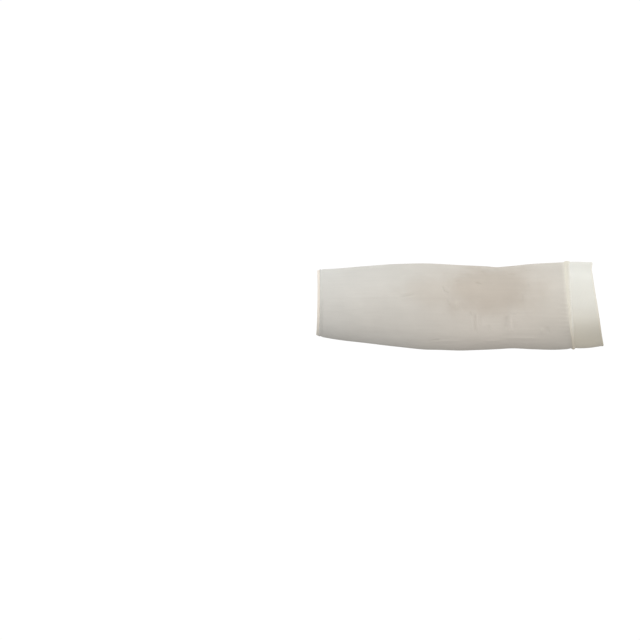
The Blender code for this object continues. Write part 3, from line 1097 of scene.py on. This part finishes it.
def zigzag(around, width):
    """A rounded zigzag between minus and plus width, once for each stitch.

    It is the arcsine of a sine, which alone would be sharp. A factor under 1 on the
    sine rounds its corners.
    """
    sharp = np.arcsin(LOOP_ROUNDING * np.sin(STITCHES * around))
    return width * sharp / math.asin(LOOP_ROUNDING)


outer_thread = thread_mesh(
    "looper_thread",
    lambda a: ridge_place(a, zigzag(a, LOOP_REACH)),
    lambda a: ridge_lift(a, zigzag(a, LOOP_REACH)) + LOOP_RISE,
    samples=14,
)
looper = add_piece("looper_thread", outer_thread, seam_yarn)
inner_thread = thread_mesh(
    "inner_thread",
    lambda a: JOINT + zigzag(a, INNER_REACH),
    lambda a: np.full_like(a, INNER_THREAD_LIFT),
    samples=10,
)
inner = add_piece("inner_thread", inner_thread, seam_yarn)

# %% [markdown]
# A sleeve like this is about 20 cm round before it is pulled on.

# %% [markdown]
# The photo was taken square to the sleeve, from far off, so the camera looks level
# along Y with a long lens. The frame is 0.64 m wide at the sleeve's axis, which
# makes a pixel of the photo one millimetre.

# %% The camera
CAMERA_DISTANCE = 3.5
VIEW_WIDTH = 0.64
VIEW_X = -263.5 * MM
VIEW_Z = -14.6 * MM
camera_data = bpy.data.cameras.new("camera")
camera = add_object("camera", camera_data)
bpy.context.scene.camera = camera
camera.location = (VIEW_X, -CAMERA_DISTANCE, VIEW_Z)
camera.rotation_euler = (math.radians(90), 0, 0)
camera_data.lens = camera_data.sensor_width * CAMERA_DISTANCE / VIEW_WIDTH
print(f"lens: {camera_data.lens:.0f} mm")

# %% [markdown]
# A photographer lights such a piece from above with one large soft lamp and burns
# out the backdrop to pure white. Here a wide sun is the lamp, and the world is the
# rest of the studio. It is white in a low belt round the horizon, where the camera
# looks. Above that it is a little brighter, as pale walls near the lamp are, and
# almost dark overhead, where the lamp takes over. Below, it is the grey of the light
# that a floor sends back.

# %% The world
FLOOR_TONE = 0.375
BELT_TONE = 1.03
SIDE_TONE = 1.20
TOP_TONE = 0.05
WHITE = (1.0, 1.0, 1.0)
WARM_WHITE = (1.0, 0.995, 0.985)
# elevation in degrees, and the tone and the tint there
SKY_TONES = (
    (-11.5, FLOOR_TONE, WHITE),
    (-6.3, BELT_TONE, WHITE),
    (6.3, BELT_TONE, WHITE),
    (13.0, SIDE_TONE, WARM_WHITE),
    (42.0, SIDE_TONE, WARM_WHITE),
    (50.0, TOP_TONE, WHITE),
)
world = bpy.data.worlds.new("studio")
bpy.context.scene.world = world
world.use_nodes = True
tree = world.node_tree
direction = add_node(tree, "ShaderNodeTexCoord", out="Generated")
up = add_node(tree, "ShaderNodeSeparateXYZ", (direction,), out="Z")
height = add_node(tree, "ShaderNodeMath", (up, 0.5, 0.5), operation="MULTIPLY_ADD")
sky = add_node(tree, "ShaderNodeValToRGB", (height,))
sky_stops = []
for elevation, tone, tint in SKY_TONES:
    position = 0.5 + 0.5 * math.sin(math.radians(elevation))
    sky_stops.append((position, [tone * part for part in tint] + [1.0]))
set_stops(sky, sky_stops)
tree.links.new(sky, tree.nodes["Background"].inputs["Color"])
print(f"tones of the world: {len(sky_stops)}")

# %% [markdown]
# The sun stands almost straight above and is 45 degrees wide, so its shadows are
# soft. Its white is a little cool. A weak, faintly pink lamp in front and below lifts
# the lower flank, as a reflector would.

# %% The lamps
LAMP_STRENGTH = 0.48 * math.pi
LAMP_WIDTH = math.radians(45)
LAMP_TILT = math.radians(2)
COOL_WHITE = (0.955, 0.985, 1.02)
FILL_PLACE = (-0.13, -0.45, -0.30)
FILL_AIM = (-0.12, 0.0, 0.0)
FILL_SIZE = 0.3
FILL_POWER = 0.75
PINK_WHITE = (1.0, 0.965, 0.955)

lamp_data = bpy.data.lights.new("soft_lamp", "SUN")
lamp_data.energy = LAMP_STRENGTH
lamp_data.angle = LAMP_WIDTH
lamp_data.color = COOL_WHITE
lamp = add_object("soft_lamp", lamp_data)
lamp.rotation_euler = (LAMP_TILT, 0, 0)

fill_data = bpy.data.lights.new("fill_lamp", "AREA")
fill_data.size = FILL_SIZE
fill_data.energy = FILL_POWER
fill_data.color = PINK_WHITE
fill = add_object("fill_lamp", fill_data)
fill.location = FILL_PLACE
fill_aim = Vector(FILL_AIM) - Vector(FILL_PLACE)
fill.rotation_euler = fill_aim.to_track_quat("-Z", "Y").to_euler()
fill.visible_camera = False
print(f"fill lamp: {fill_aim.length:.2f} m from the sleeve")

# %% [markdown]
# The floor is a wide sheet of pale, matt paper, far under the sleeve. Its light would
# be hard to set apart from the colour it shows, so it sends none to the sleeve, and
# the lower half of the world stands in for it.

# %% The floor
FLOOR_DEPTH = 1.0
FLOOR_RADIUS = 6.5
FLOOR_SIDES = 96
PAPER_TONE = (0.56, 0.56, 0.56, 1.0)
turn = np.linspace(0, 2 * math.pi, FLOOR_SIDES, endpoint=False)
depth = np.full(FLOOR_SIDES, -FLOOR_DEPTH)
rim = np.stack([FLOOR_RADIUS * np.cos(turn), FLOOR_RADIUS * np.sin(turn), depth], axis=-1)
floor_mesh = bpy.data.meshes.new("floor")
floor_mesh.from_pydata(rim, [], [list(range(FLOOR_SIDES))])
floor = add_object("floor", floor_mesh)
paper = bpy.data.materials.new("pale_paper")
paper.use_nodes = True
shader = paper.node_tree.nodes["Principled BSDF"]
finish = {"Base Color": PAPER_TONE, "Roughness": 1.0, "Specular IOR Level": 0.0}
set_inputs(paper.node_tree, shader, finish)
floor_mesh.materials.append(paper)
floor.visible_diffuse = False
floor.visible_glossy = False
floor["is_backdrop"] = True
bpy.context.scene.view_settings.view_transform = "Standard"
print(f"floor: {2 * FLOOR_RADIUS:.0f} m wide, {FLOOR_DEPTH:.1f} m under the sleeve's axis")

# %% Sizes and finish
scene_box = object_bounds()
sizes = {"cad": [list(corner) for corner in cad_box], "scene": [list(corner) for corner in scene_box]}
for name, box in sizes.items():
    print(name, [[round(value / MM, 1) for value in corner] for corner in box], "mm")
